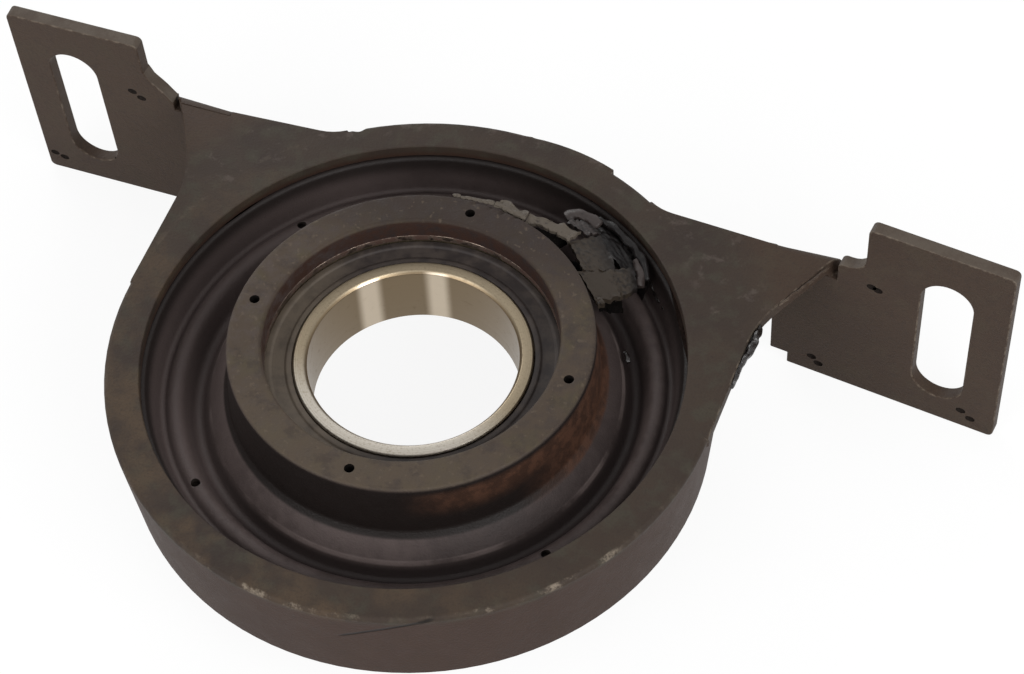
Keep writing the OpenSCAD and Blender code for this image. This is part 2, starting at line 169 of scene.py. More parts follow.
class Finish:
    def __init__(self, name, **constants):
        self.material = bpy.data.materials.new(name)
        self.material.use_nodes = True
        self.tree = self.material.node_tree
        self.shader = self.tree.nodes["Principled BSDF"]
        for socket, value in constants.items():
            self.shader.inputs[socket.replace("_", " ")].default_value = value
        self.wire = Wire(self.tree)
        place = self.wire.node("TexCoord", output="Object")
        self.place = self.wire.node("VectorMath", {"operation": "SCALE"}, {0: place, "Scale": 1 / MM})
        self.x, self.y, self.z = (
            self.wire.node("SeparateXYZ", None, {0: self.place}, axis) for axis in "XYZ"
        )
        self.radius = (self.x * self.x + self.y * self.y) ** 0.5
        self.angle = self.wire.maths("ARCTAN2", self.y, self.x) * (180 / math.pi)

    def clouds(self, size, detail=4.0, rough=0.55, seed=0.0, place=None):
        """Noise from 0 to 1 whose lumps are about this many millimetres across."""
        offset = {0: place or self.place, 1: (seed, -seed, 2 * seed)}
        shift = self.wire.node("VectorMath", {"operation": "ADD"}, offset)
        values = {"Vector": shift, "Scale": 1 / size, "Detail": detail, "Roughness": rough}
        return self.wire.node("TexNoise", None, values)

    def ramp(self, value, low, high):
        """0 below low, 1 above high, soft between. With low above high it falls instead."""
        values = {"Value": value, "From Min": low, "From Max": high}
        return self.wire.node("MapRange", {"interpolation_type": "SMOOTHSTEP"}, values)

    def between(self, value, low, high, soft):
        """1 between low and high, with soft ends outside them."""
        return self.ramp(value, low - soft, low) * self.ramp(value, high + soft, high)

    def mix(self, mask, first, second):
        return self.wire.node("Mix", {"data_type": "RGBA"}, {0: mask, 6: first, 7: second}, 2)

    def rings(self, spacing, seed=0.0):
        """Fine turning marks: noise that changes along the radius and the axis but not round them."""
        values = {"X": self.radius, "Y": self.z, "Z": seed}
        return self.clouds(spacing, 2.0, 0.6, seed, self.wire.node("CombineXYZ", None, values))

    def attribute(self, name):
        return self.wire.node("Attribute", {"attribute_name": name}, output="Fac")

    def relief(self, height, depth):
        """Bump the surface by a height from 0 to 1, which stands for this depth in millimetres."""
        values = {"Height": height, "Strength": 1.0, "Distance": depth * MM}
        self.feed("Normal", self.wire.node("Bump", None, values))

    def feed(self, socket, value):
        if isinstance(value, Wire):
            self.tree.links.new(value.socket, self.shader.inputs[socket])
        else:
            self.shader.inputs[socket].default_value = value


print("a finish starts from coordinates in mm, radius and angle round the shaft")

# %% [markdown]
# ## The bracket's finish
#
# The bracket is pressed steel with a thin dark phosphate coat, gone brown and blotchy. It is redder on
# the wall of the rim and warmer on the ears, and pale smears have dried on the webs. Where the coat is
# rubbed off, bare steel shows along sheared edges and cut faces. Long bright scuffs on the fold of the
# rim are partly bare steel and partly painted highlight on its near side. A painted mask could hold
# that, but noise gated by the radius, the angle and two face attributes gives it from any side. One
# long gouge crosses the rim.

# %% Phosphated steel
COAT = tone(52, 43, 36)
COAT_DARK = tone(43, 35, 31)
COAT_BROWN = tone(70, 57, 44)
COAT_GREEN = tone(55, 51, 43)
COAT_RED = tone(50, 34, 27)
COAT_WARM = tone(60, 46, 36)
TIDE_MARK = tone(82, 73, 68)
CUT_STEEL = tone(84, 76, 68)
BARE_STEEL = tone(126, 115, 102)
GOUGE_DARK = tone(14, 11, 10)
RIM_R = 58.25
FACE_Z = 7.5
# The webs turn into ears between these radii, and their smears start between these values of y
EARS_R = (64, 72)
SMEARS_Y = (20, 30)
# Ranges are written as from, to and the softness of both ends: radii in mm, angles in degrees
SMEARS_R = (57, 66, 3)
# Scuffs on the fold of the rim: partly bare steel, partly painted highlight on its near side
SCUFFS_AND_HIGHLIGHTS = [(-106, -82, 6), (-62, -32, 6)]
GOUGE_ENDS = (-81, -66, 2)
# The gouge passes this height at this angle, and rises and bows by so much for each degree
GOUGE_ANGLE = -73.6
GOUGE_Z = 4.3
GOUGE_RISE = 0.43
GOUGE_BOW = 0.012


def phosphated_steel():
    f = Finish("phosphated_steel", Specular_IOR_Level=0.15)
    broad = f.clouds(28, 3, seed=3)
    blotch = f.clouds(5, 5, 0.6, seed=11)
    grain = f.clouds(0.5, 3, 0.6, seed=5)
    colour = f.mix(f.ramp(broad, 0.35, 0.65), COAT_DARK, COAT)
    colour = f.mix(f.ramp(blotch, 0.46, 0.66) * 0.8, colour, COAT_GREEN)
    on_ring = f.ramp(f.radius, RIM_R + 2, RIM_R - 1)
    lower_left = f.ramp(f.x + f.y, 10, -45)
    brown = f.ramp(f.clouds(9, 4, seed=21), 0.4, 0.7) * (0.1 + 0.7 * lower_left * on_ring)
    colour = f.mix(brown, colour, COAT_BROWN)
    on_wall = f.ramp(f.z, FACE_Z - 1, FACE_Z - 2.5) * f.ramp(f.radius, RIM_R + 2, RIM_R + 1)
    colour = f.mix(0.85 * on_wall, colour, COAT_RED)
    colour = f.mix(0.6 * f.ramp(f.radius, *EARS_R), colour, COAT_WARM)
    colour = f.mix(f.ramp(grain, 0.45, 0.7) * 0.4, colour, COAT_DARK)
    fleck = f.ramp(f.clouds(1.7, 4, 0.65, seed=71), 0.55, 0.72)
    colour = f.mix(0.45 * fleck, colour, COAT_DARK)
    on_face = f.ramp(f.z, FACE_Z - 1, FACE_Z - 0.2)
    on_web = f.ramp(f.y, *SMEARS_Y) * f.between(f.radius, *SMEARS_R) * on_face
    smear = f.ramp(f.clouds(3.4, 4, 0.6, seed=51), 0.56, 0.68) * on_web
    colour = f.mix(0.4 * smear, colour, TIDE_MARK)
    cut = f.attribute("cut_face") * (0.5 + 0.5 * f.ramp(blotch, 0.35, 0.6))
    colour = f.mix(0.75 * cut, colour, CUT_STEEL)

    fold = f.between(f.radius, RIM_R - 0.7, RIM_R, 0.35) * f.ramp(f.z, FACE_Z - 1.4, FACE_Z - 0.7)
    # Bright scuffs on the fold: partly bare steel, partly painted highlight
    scuffed_and_lit = f.between(f.angle, *SCUFFS_AND_HIGHLIGHTS[0]) + f.between(f.angle, *SCUFFS_AND_HIGHLIGHTS[1])
    scuff_and_highlight = fold * f.ramp(f.clouds(4.0, 6, 0.75, seed=31), 0.5, 0.36) * (0.1 + 0.7 * scuffed_and_lit)
    chipped = f.ramp(f.clouds(2.6, 6, 0.75, seed=41), 0.56, 0.36) * f.ramp(f.radius, RIM_R - 4, RIM_R - 2)
    sheared = f.attribute("worn_edge") * chipped
    bare_and_highlight = f.wire.maths("MAXIMUM", scuff_and_highlight, 0.5 * sheared)
    colour = f.mix(bare_and_highlight * 0.8, colour, BARE_STEEL)

    along = f.angle - GOUGE_ANGLE
    drop = f.z - GOUGE_Z - GOUGE_RISE * along
    line = f.wire.maths("ABSOLUTE", drop + GOUGE_BOW * along * along, 0)
    on_rim = f.ramp(f.radius, RIM_R - 3, RIM_R - 2)
    gouge = f.ramp(line, 0.55, 0.15) * f.between(f.angle, *GOUGE_ENDS) * on_rim
    colour = f.mix(gouge * 0.85, colour, GOUGE_DARK)
    f.feed("Base Color", colour)
    f.feed("Metallic", bare_and_highlight * 0.5)
    f.feed("Roughness", 0.5 + 0.18 * blotch - 0.12 * bare_and_highlight)
    f.relief(0.55 * grain + 0.3 * blotch - 0.9 * gouge, 0.18)
    return f.material


STEEL_COAT = phosphated_steel()
print("made", STEEL_COAT.name, "with", len(STEEL_COAT.node_tree.nodes), "nodes")

# %% [markdown]
# ## The rubber's finish
#
# The moulding is black rubber with the dull bloom of age. Dust has turned the flat front of the nose
# brown-grey, and rust from the sleeve has stained the wall beside it. A painted highlight runs along
# the crest, and the ridge top is partly bloom and partly painted sheen. The left side is painted
# lighter, and painted shade darkens the groove beside the nose and the wall under the rim's face, most
# of all on the upper right. Most zones are rings, or parts of rings, so radius, height and angle pick
# them out, and noise breaks their edges.

# %% Aged rubber
RUBBER_BLACK = tone(40, 33, 32)
# painted shade for the groove beside the nose and for the wall under the rim's face
RUBBER_PAINTED_SHADE = tone(16, 11, 9)
# a grey for bloom, also used as painted light on the left side and as painted sheen on the ridge top
RUBBER_BLOOM_AND_LIGHT = tone(76, 66, 64)
# a painted highlight along the crest
CREST_HIGHLIGHT = tone(112, 100, 97)
NOSE_DUST = tone(63, 53, 44)
NOSE_SPECK = tone(84, 73, 61)
NOSE_OLIVE = tone(66, 59, 42)
RUST_STAIN = tone(66, 44, 33)
RECESS_STAIN = tone(48, 32, 26)
NOSE_SHADE = tone(38, 29, 26)
NOSE_PALE = tone(74, 64, 53)
NOSE_R = 34.5
RECESS_R = 27.9
NOSE_Z = 13.15
FOOT_R = 35.9
CREST_R = 39.4
RIDGE_R = 45.4
BAND_R = 50.6
# Angles in degrees: from, to and the softness of both ends
LOW_RIGHT = (-52, 26, 22)
# On this stretch the outer wall gets painted shadow down its whole height
SHADOWED_UPPER_RIGHT = (5, 100, 25)


def aged_rubber():
    f = Finish("aged_rubber", Specular_IOR_Level=0.2)
    broad = f.clouds(12, 4, seed=7)
    mottle = f.clouds(2.6, 5, 0.62, seed=17)
    pores = f.clouds(0.45, 3, 0.6, seed=27)
    slope = f.between(f.radius, FOOT_R + 0.8, CREST_R, 0.9)
    top = f.between(f.radius, RIDGE_R - 1.6, RIDGE_R + 1.2, 1.0)
    flank = f.between(f.radius, RIDGE_R + 2, BAND_R, 0.8) * f.ramp(f.z, 4, -1)
    low_right = f.between(f.angle, *LOW_RIGHT)
    patchy = 0.55 + 0.45 * f.ramp(mottle + broad, 0.7, 1.2)
    # Bloom on the slope and the lower outer wall; on the ridge top it is partly bloom and partly painted
    # sheen
    bloom_and_sheen = (slope * (1 - 0.5 * low_right) + top + 0.35 * flank) * patchy
    # Painted light: the black base grows lighter towards the left side
    dull_and_lit_left = f.mix(0.75 * f.ramp(f.x, -14, -36), RUBBER_BLACK, RUBBER_BLOOM_AND_LIGHT)
    colour = f.mix(bloom_and_sheen, dull_and_lit_left, RUBBER_BLOOM_AND_LIGHT)
    # Painted highlight: a thin pale line along the crest
    crest_highlight = f.between(f.radius, CREST_R - 0.1, CREST_R + 0.2, 0.25) * f.ramp(f.z, 2, 0)
    colour = f.mix(crest_highlight * f.ramp(broad, 0.35, 0.6) * 0.6, colour, CREST_HIGHLIGHT)
    # Painted shade: the groove beside the nose and the top of the outer wall under the rim's face are
    # darkened
    shade_beside_nose = f.between(f.radius, NOSE_R - 0.3, FOOT_R + 0.3, 0.5) * f.ramp(f.z, 12.8, 12)
    shaded = f.wire.maths("MAXIMUM", f.ramp(f.z, -1, 3), f.between(f.angle, *SHADOWED_UPPER_RIGHT))
    shade_under_face = f.ramp(f.radius, BAND_R - 1, BAND_R) * shaded
    colour = f.mix(0.85 * f.wire.maths("MAXIMUM", shade_beside_nose, shade_under_face), colour, RUBBER_PAINTED_SHADE)
    wall = f.between(f.radius, NOSE_R - 0.4, FOOT_R + 0.6, 0.5) * f.ramp(f.z, 12.2, 10.5)
    rust = wall * low_right * f.wire.maths("MAXIMUM", f.ramp(f.z, 4, 9), f.ramp(f.y, -22, -8))
    colour = f.mix((0.5 + 0.5 * f.ramp(mottle, 0.4, 0.6)) * rust, colour, RUST_STAIN)
    recess = f.ramp(f.radius, RECESS_R + 0.9, RECESS_R + 0.2)
    colour = f.mix(recess * f.ramp(mottle, 0.3, 0.6), colour, RECESS_STAIN)
    front = f.ramp(f.z, NOSE_Z - 0.9, NOSE_Z - 0.2) * f.ramp(f.radius, NOSE_R + 0.4, NOSE_R - 0.4)
    dust = front * (0.6 + 0.4 * f.ramp(mottle, 0.35, 0.6))
    olive = f.ramp(f.clouds(6, 4, seed=47), 0.45, 0.65)
    colour = f.mix(dust, colour, f.mix(olive * 0.5, NOSE_DUST, NOSE_OLIVE))
    colour = f.mix(0.8 * front * f.ramp(f.y, 14, 30), colour, NOSE_SHADE)
    colour = f.mix(0.5 * front * f.ramp(f.y, -12, -28), colour, NOSE_PALE)
    stains = f.ramp(f.clouds(4.2, 5, 0.65, seed=57), 0.5, 0.66)
    colour = f.mix(0.45 * front * stains, colour, RUBBER_BLACK)
    specks = f.ramp(f.clouds(1.1, 3, seed=37), 0.6, 0.7)
    colour = f.mix(front * specks * 0.5, colour, NOSE_SPECK)
    colour = f.mix(f.ramp(pores, 0.6, 0.75) * 0.35, colour, RUBBER_BLACK)
    f.feed("Base Color", colour)
    f.feed("Roughness", 0.42 + 0.2 * mottle + 0.16 * dust)
    f.relief(0.6 * pores + 0.5 * mottle, 0.14)
    return f.material


RUBBER = aged_rubber()
print("made", RUBBER.name, "with", len(RUBBER.node_tree.nodes), "nodes")

# %% [markdown]
# ## Torn and shiny rubber
#
# Where the skin has ripped, its fresh inside is a greenish grey with dark pits. The skin itself is
# nearly black, its lips and the frayed strip are paler, and loose bits shine like tar. Holes that no
# light reaches get a black lining, and dents and mould marks a dark one, which in the dents is painted
# shade. These seven finishes differ so little that one function makes them all from a body colour, a
# second colour in the pits, a roughness and a gloss.

# %% Torn rubber, glossy bits and linings
def ripped_rubber(name, body, pit, roughness, gloss):
    f = Finish(name, Specular_IOR_Level=gloss)
    lumps = f.clouds(1.6, 5, 0.65, seed=9)
    fibres = f.clouds(0.4, 4, 0.7, seed=19)
    pits = f.wire.maths("MAXIMUM", f.attribute("pits"), f.ramp(lumps, 0.42, 0.3))
    colour = f.mix(pits, body, pit)
    colour = f.mix(f.ramp(fibres, 0.55, 0.75) * 0.25, colour, RUBBER_BLOOM_AND_LIGHT)
    f.feed("Base Color", colour)
    f.feed("Roughness", roughness + 0.2 * fibres)
    f.relief(lumps + 0.4 * fibres, 0.12)
    return f.material


TORN = ripped_rubber("torn_rubber", tone(49, 42, 35), tone(12, 10, 11), 0.4, 0.2)
SKIN = ripped_rubber("torn_skin", tone(15, 12, 12), tone(6, 5, 5), 0.3, 0.2)
LIP = ripped_rubber("torn_lip", tone(48, 41, 39), tone(10, 8, 8), 0.35, 0.3)
FRAYED = ripped_rubber("frayed_rubber", tone(78, 71, 63), tone(44, 38, 34), 0.5, 0.2)
TAR = ripped_rubber("glossy_rubber", tone(26, 22, 21), tone(8, 7, 7), 0.15, 0.5)
HOLLOW = ripped_rubber("black_hollow", tone(10, 8, 7), tone(5, 4, 4), 0.8, 0.05)
# a dark lining; in the dents of the ears it is painted shade
DARK_LINING = ripped_rubber("dent_dark_lining", tone(24, 19, 16), tone(12, 10, 9), 0.7, 0.1)
print("made", TORN.name, SKIN.name, LIP.name, FRAYED.name, TAR.name, HOLLOW.name, DARK_LINING.name)

# %% [markdown]
# ## The bearing's finishes
#
# The inner ring is ground steel: bright, a little warm, with marks that run round it, and paler towards
# the bottom. Marks like that could be an anisotropic gloss, but here they are rings of fine noise in the
# roughness and the bump. The bore is painted a darker brown for the shade that it reflects, with two
# light stripes of painted reflection. The seal is rubber again, smoother and greyer, with dust on its
# left, and the sleeve that shows as a thin edge has rusted. The parts behind the seals get steels of the
# same kind.

# %% Ground steel, seal rubber and rusty sleeve
BORE_R = 20.0
# The bore is painted light: a darker brown for the shade that it reflects, and light stripes that are
# painted reflections
BORE_REFLECTED_SHADE = tone(122, 107, 86)
BORE_REFLECTION = tone(198, 184, 164)
# Angles in degrees: from, to and the softness of both ends
REFLECTION_STRIPES = [(96, 101, 6), (134, 140, 6)]
# the colour turns paler below this y
PALER_BELOW_Y = -12.0
SEAL_DARK = tone(42, 37, 36)
SEAL_GREY = tone(62, 55, 51)
SEAL_DUST = tone(88, 79, 69)
SLEEVE_BARE = tone(112, 99, 90)
SLEEVE_RUST = tone(62, 43, 35)


def ground_steel(name, colour, stain, roughness, paler_below=None):
    f = Finish(name)
    lines = f.rings(0.35, seed=2)
    fine = f.rings(0.12, seed=12)
    spots = f.clouds(1.4, 5, 0.7, seed=22)
    body = f.mix(f.ramp(f.y, PALER_BELOW_Y + 8, PALER_BELOW_Y - 6), colour, paler_below or colour)
    shade = f.mix(f.ramp(lines, 0.4, 0.75) * 0.35, body, stain)
    shade = f.mix(f.ramp(spots, 0.6, 0.75) * 0.5, shade, stain)
    grit = f.clouds(0.5, 3, 0.6, seed=32)
    shade = f.mix(f.ramp(grit, 0.5, 0.68) * 0.35, shade, stain)
    # Painted reflection: two light stripes on a bore painted dark for reflected shade
    in_bore = f.ramp(f.radius, BORE_R + 0.5, BORE_R + 0.2)
    reflected_stripes = f.between(f.angle, *REFLECTION_STRIPES[0]) + f.between(f.angle, *REFLECTION_STRIPES[1])
    shade = f.mix(in_bore, shade, f.mix(reflected_stripes, BORE_REFLECTED_SHADE, BORE_REFLECTION))
    f.feed("Base Color", shade)
    f.feed("Metallic", 1.0)
    f.feed("Roughness", roughness + 0.14 * lines + 0.2 * f.ramp(spots, 0.55, 0.75))
    f.relief(0.5 * lines + 0.5 * fine, 0.012)
    return f.material


def seal_rubber():
    f = Finish("seal_rubber", Specular_IOR_Level=0.2)
    lines = f.rings(0.5, seed=4)
    dust = f.clouds(3.5, 5, 0.65, seed=14)
    colour = f.mix(f.ramp(dust, 0.35, 0.7), SEAL_DARK, SEAL_GREY)
    dusted = f.ramp(f.x + 0.5 * f.y, -6, -22) * (0.6 + 0.4 * f.ramp(dust, 0.3, 0.6))
    colour = f.mix(dusted, colour, SEAL_DUST)
    f.feed("Base Color", colour)
    f.feed("Roughness", 0.45 + 0.2 * dust)
    f.relief(0.4 * lines + 0.5 * dust, 0.06)
    return f.material


def rusty_steel():
    f = Finish("rusty_steel")
    rust = f.ramp(f.clouds(2.4, 5, 0.65, seed=6), 0.4, 0.58)
    colour = f.mix(rust, SLEEVE_BARE, SLEEVE_RUST)
    f.feed("Base Color", colour)
    f.feed("Metallic", 1 - 0.75 * rust)
    f.feed("Roughness", 0.32 + 0.4 * rust)
    f.relief(rust, 0.05)
    return f.material


RING_STEEL = ground_steel(
    "ground_ring_steel", tone(140, 128, 108), tone(106, 93, 75), 0.3, paler_below=tone(176, 170, 160)
)
BALL_STEEL = ground_steel("polished_ball_steel", tone(206, 204, 200), tone(180, 178, 172), 0.1)
CAGE_STEEL = ground_steel("pressed_cage_steel", tone(150, 142, 126), tone(112, 102, 88), 0.4)
SEAL = seal_rubber()
SLEEVE = rusty_steel()
print("made", RING_STEEL.name, BALL_STEEL.name, CAGE_STEEL.name, SEAL.name, SLEEVE.name)

# %% [markdown]
# ## From a bmesh to a finished piece
#
# Every piece ends the same way: its mesh goes into an object at the origin, gets a finish, rides on a
# body of the imported model, and hides the CAD node that it replaces. Smooth shading with sharp edges
# kept by angle suits both turned and pressed shapes. Holes are cut by a Boolean modifier, and the
# cutter hands its own finish to the walls that it leaves.

# %% Finish a piece
SHARP = math.radians(38)
WELD = 1e-6


def polar(radius, degrees, height):
    """A point in metres from a radius and height in millimetres and an angle round the shaft."""
    turn = math.radians(degrees)
    return Vector((radius * math.cos(turn), radius * math.sin(turn), height)) * MM


def soft_step(value, low, high):
    """0 below low, 1 above high and smooth between, as the shader's ramp."""
    share = min(max((value - low) / (high - low), 0.0), 1.0)
    return share * share * (3 - 2 * share)


def piece(name, bm, material, body="bracket_unit", replaces=(), sharp=SHARP):
    mesh = bpy.data.meshes.new(name)
    bm.to_mesh(mesh)
    bm.free()
    mesh.shade_smooth()
    mesh.set_sharp_from_angle(angle=sharp)
    mesh.materials.append(material)
    made = bpy.data.objects.new(name, mesh)
    scene.collection.objects.link(made)
    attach(made, body)
    if replaces:
        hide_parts(*replaces)
    print(name, "has", len(mesh.polygons), "faces")
    return made


def carve(made, cutters, lining):
    """Cuts closed shapes out of a piece with a Boolean modifier, and lines the cuts with a finish."""
    mesh = bpy.data.meshes.new("cutters")
    cutters.to_mesh(mesh)
    cutters.free()
    mesh.materials.append(lining)
    tool = bpy.data.objects.new("cutters", mesh)
    scene.collection.objects.link(tool)
    cut = made.modifiers.new("cut", "BOOLEAN")
    cut.object = tool
    cut.solver = "MANIFOLD"
    cut.material_mode = "TRANSFER"
    view = bpy.context.evaluated_depsgraph_get()
    carved = bpy.data.meshes.new_from_object(made.evaluated_get(view))
    made.modifiers.clear()
    made.data = carved
    bpy.data.objects.remove(tool)
    bpy.data.meshes.remove(mesh)
    carved.set_sharp_from_angle(angle=SHARP)
    print(made.name, "carved to", len(carved.polygons), "faces")


print("edges over", round(math.degrees(SHARP)), "degrees stay sharp")

# %% [markdown]
# ## The bracket
#
# The CAD bracket has the right shape, but its edges are razor sharp, and real sheared sheet catches
# the light along a small rounded edge. It could be redrawn, but a copy is quicker and exact: merge
# the loose triangles, dissolve the flat ones into whole faces, and bevel what is still sharp. Slivers
# are merged first, because a bevel can't be wider than they are, and a few corners are moved to where
# the photographed sheet has them: the slant of the left ear's notch, the lie of the right fold, and the
# ends of both folds. The new faces along the edges carry an attribute, so that the finish can wear the
# coat off them, and a second one marks the cut faces on the tops and ends of the ears.

# %% Round the edges of the bracket
FLAT = math.radians(0.6)
BRACKET_SHARP = math.radians(30)
EDGE_ROUND = 0.26 * MM
SLIVER = 0.05 * MM
SHORTEST = 0.12 * MM
ACUTE = math.radians(35)


def can_round(edge, sharp):
    """False for edges that a bevel turns into spikes: very short ones and the sides of thin wedges."""
    for corner in edge.verts:
        along = edge.other_vert(corner).co - corner.co
        for other in corner.link_edges:
            if other is not edge and other in sharp:
                if along.angle(other.other_vert(corner).co - corner.co, math.pi) < ACUTE:
                    return False
    return edge.calc_length() > SHORTEST


# The left notch's slant as distances from the middle and heights in mm, and the right ear's sag in degrees
NOTCH_SLOPE = [(69.8, 6.0), (72.0, 8.8), (74.3, 11.1), (75.5, 13.8)]
RIGHT_SAG = 6.5
EAR_IN_X = 57.0
LEFT_END_X = -69.8
# How far up each web reaches at its fold, left and right, how it slopes there, and what is clipped
WEB_TOP = (45.3, 46.9)
WEB_SLOPE = 0.76
WEB_CLIP = 0.2
# Where the corners to be moved lie: from and to in x, y and z, in mm
ANY = (-math.inf, math.inf)
IN_NOTCH = ((-75.5, LEFT_END_X), (43, math.inf), (7.6, 12.8))
IN_LEFT_END = ((LEFT_END_X, -68), (45.6, math.inf), (3.95, math.inf))
IN_RIGHT_FOLD = ((EAR_IN_X + 0.5, 69.9), (42, math.inf), (3.85, 7.55))
IN_WEB_CORNER = ((56.5, EAR_IN_X + 0.1), ANY, (4.2, 7.2))
# The moves of the left end and the right fold grow from nothing to all between these y and z
LEFT_END_Y = (45.6, 46.4)
RIGHT_FOLD_Z = (3.9, 5.5)
# The coat is whole along the left crease, and the cut faces lie beyond these places on each ear
IN_LEFT_CREASE = ((-72, -55), (-math.inf, 46.5), ANY)
EAR_TOP_X = 69.5
EAR_TOP_Z = 5
EAR_END_X = 105


def lies_in(box, x, y, z):
    return all(low < value < high for (low, high), value in zip(box, (x, y, z)))


def knock(bm):
    """Moves the few corners in which the real sheet differs from its drawing."""
    for v in bm.verts:
        x, y, z = v.co / MM
        if lies_in(IN_NOTCH, x, y, z):
            for (low_x, low_z), (high_x, high_z) in zip(NOTCH_SLOPE, NOTCH_SLOPE[1:]):
                if low_x <= -x <= high_x:
                    v.co.z = (low_z + (high_z - low_z) * (-x - low_x) / (high_x - low_x)) * MM
        if lies_in(IN_LEFT_END, x, y, z):
            v.co.x += (LEFT_END_X - x) * soft_step(y, *LEFT_END_Y) * MM
        if lies_in(IN_RIGHT_FOLD, x, y, z):
            v.co.y += (x - EAR_IN_X) * math.tan(math.radians(RIGHT_SAG)) * soft_step(z, *RIGHT_FOLD_Z) * MM
        if lies_in(IN_WEB_CORNER, abs(x), y, z):
            v.co.y = min(v.co.y, (WEB_TOP[x > 0] + WEB_SLOPE * (FACE_Z - z) - WEB_CLIP) * MM)


def is_cut_face(face):
    """True for the sheared faces on the top and the outer end of each ear."""
    x, _, z = face.calc_center_median() / MM
    on_top = abs(x) > EAR_TOP_X and z > EAR_TOP_Z and face.normal.z > 0.3
    return on_top or (abs(x) > EAR_END_X and abs(face.normal.x) > 0.5)


def bracket_sheet():
    bm = bmesh.new()
    bm.from_mesh(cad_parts["bracket"].data)
    bmesh.ops.remove_doubles(bm, verts=bm.verts, dist=WELD)
    bmesh.ops.dissolve_limit(bm, angle_limit=FLAT, verts=bm.verts, edges=bm.edges)
    bmesh.ops.remove_doubles(bm, verts=bm.verts, dist=SLIVER)
    bmesh.ops.dissolve_degenerate(bm, edges=bm.edges, dist=SLIVER / 2)
    knock(bm)
    worn = bm.faces.layers.float.new("worn_edge")
    cut = bm.faces.layers.float.new("cut_face")
    for face in bm.faces:
        face[cut] = float(is_cut_face(face))
    sharp = {e for e in bm.edges if e.is_manifold and e.calc_face_angle(0) > BRACKET_SHARP}
    to_round = [e for e in bm.edges if e in sharp and can_round(e, sharp)]
    rounded = bmesh.ops.bevel(
        bm, geom=to_round, offset=EDGE_ROUND, offset_type="OFFSET", segments=2, profile=0.5,
        affect="EDGES", clamp_overlap=False, material=-1,
    )
    for face in rounded["faces"]:
        middle = face.calc_center_median() / MM
        face[worn] = 0.0 if lies_in(IN_LEFT_CREASE, *middle) else 1.0
    bmesh.ops.remove_doubles(bm, verts=bm.verts, dist=SLIVER / 20)
    bmesh.ops.triangulate(bm, faces=[f for f in bm.faces if len(f.verts) > 4])
    return piece(
        "bracket_sheet", bm, STEEL_COAT, replaces=["bracket"], sharp=BRACKET_SHARP
    )


sheet = bracket_sheet()

# %% [markdown]
# ## Dents in the ears
#
# Each ear has a few small dents on the side that faces the viewer, each a pair of pits that run
# together. Bump could fake them, but they should also be there in the mesh, so little flattened balls
# are cut out of the sheet, which leaves pits lined with a dark colour, painted shade. One larger ball
# nicks the corner where the left web meets the rim, and leaves coated steel. A modifier then weights
# the normals by area, so that the flat faces stay flat right up to their rounded edges.

# %% Punch the dents
SHEET_T = 2.8
# Height of each ear's bolting face where it leaves its web, and its sag and twist in degrees
EAR_SET = {1: (49.0, RIGHT_SAG, 0.0), -1: (47.4, 0.0, 3.0)}
# Each dent: its side, its middle on the ear and the step between its pits, both as x and z in mm
DENTS = [
    (1, (77.6, 5.4), (1.3, -0.4)),
    (1, (66.7, -23.4), (1.5, -1.5)),
    (1, (98.6, -23.3), (2.1, -1.6)),
    (-1, (78.1, 5.9), (-1.8, -1.5)),
    (-1, (101.6, -22.9), (-2.1, -0.8)),
    (-1, (89.2, -18.8), (1.4, -0.6)),
]
PIT_R = 0.88
PIT_SHAPE = Vector((1.2, 0.6, 0.9))
NICK = polar(58.6, 122.2, FACE_Z - 1)
NICK_R = 1.8


def on_ear(side, x, z):
    """A matrix that stands on the near side of an ear: x and z are taken before it was bent."""
    top, sag, twist = EAR_SET[side]
    bend = Matrix.Rotation(math.radians(-sag), 4, "Z") @ Matrix.Rotation(math.radians(twist), 4, "X")
    fold = Matrix.Translation(Vector((EAR_IN_X, top, FACE_Z)) * MM)
    reach = Matrix.Translation(Vector((x - EAR_IN_X, -SHEET_T, z - FACE_Z)) * MM)
    return Matrix.Diagonal((side, 1, 1, 1)) @ fold @ bend @ reach


def dents():
    bm = bmesh.new()
    for side, (x, z), (step_x, step_z) in DENTS:
        for share in (-0.5, 0.5):
            place = on_ear(side, x + share * step_x, z + share * step_z) @ Matrix.Diagonal((*PIT_SHAPE, 1))
            bmesh.ops.create_icosphere(bm, subdivisions=2, radius=PIT_R * MM, matrix=place)
    bmesh.ops.recalc_face_normals(bm, faces=bm.faces)
    return bm


def nick():
    bm = bmesh.new()
    bmesh.ops.create_icosphere(bm, subdivisions=3, radius=NICK_R * MM, matrix=Matrix.Translation(NICK))
    return bm


# The dents are lined with painted shade
carve(sheet, dents(), DARK_LINING)
carve(sheet, nick(), STEEL_COAT)
sheet.modifiers.new("flat_faces", "WEIGHTED_NORMAL").keep_sharp = True

# %% [markdown]
# ## Turned pieces
#
# The rubber, the seals, the sleeve and the races are all turned: one section, swept round the shaft.
# The section could be typed in again as a list of points. Instead a plane cuts it out of the packed
# solid, so it always fits. Its corners are rounded and its long edges split, and then it is spun with
# far finer steps than the CAD mesh has.

# %% Cut a section and spin it
# The section is cut where the moulding has no damage
CLEAR_ANGLE = math.radians(205)
STRAIGHT = math.radians(1.5)
CORNER = math.radians(25)


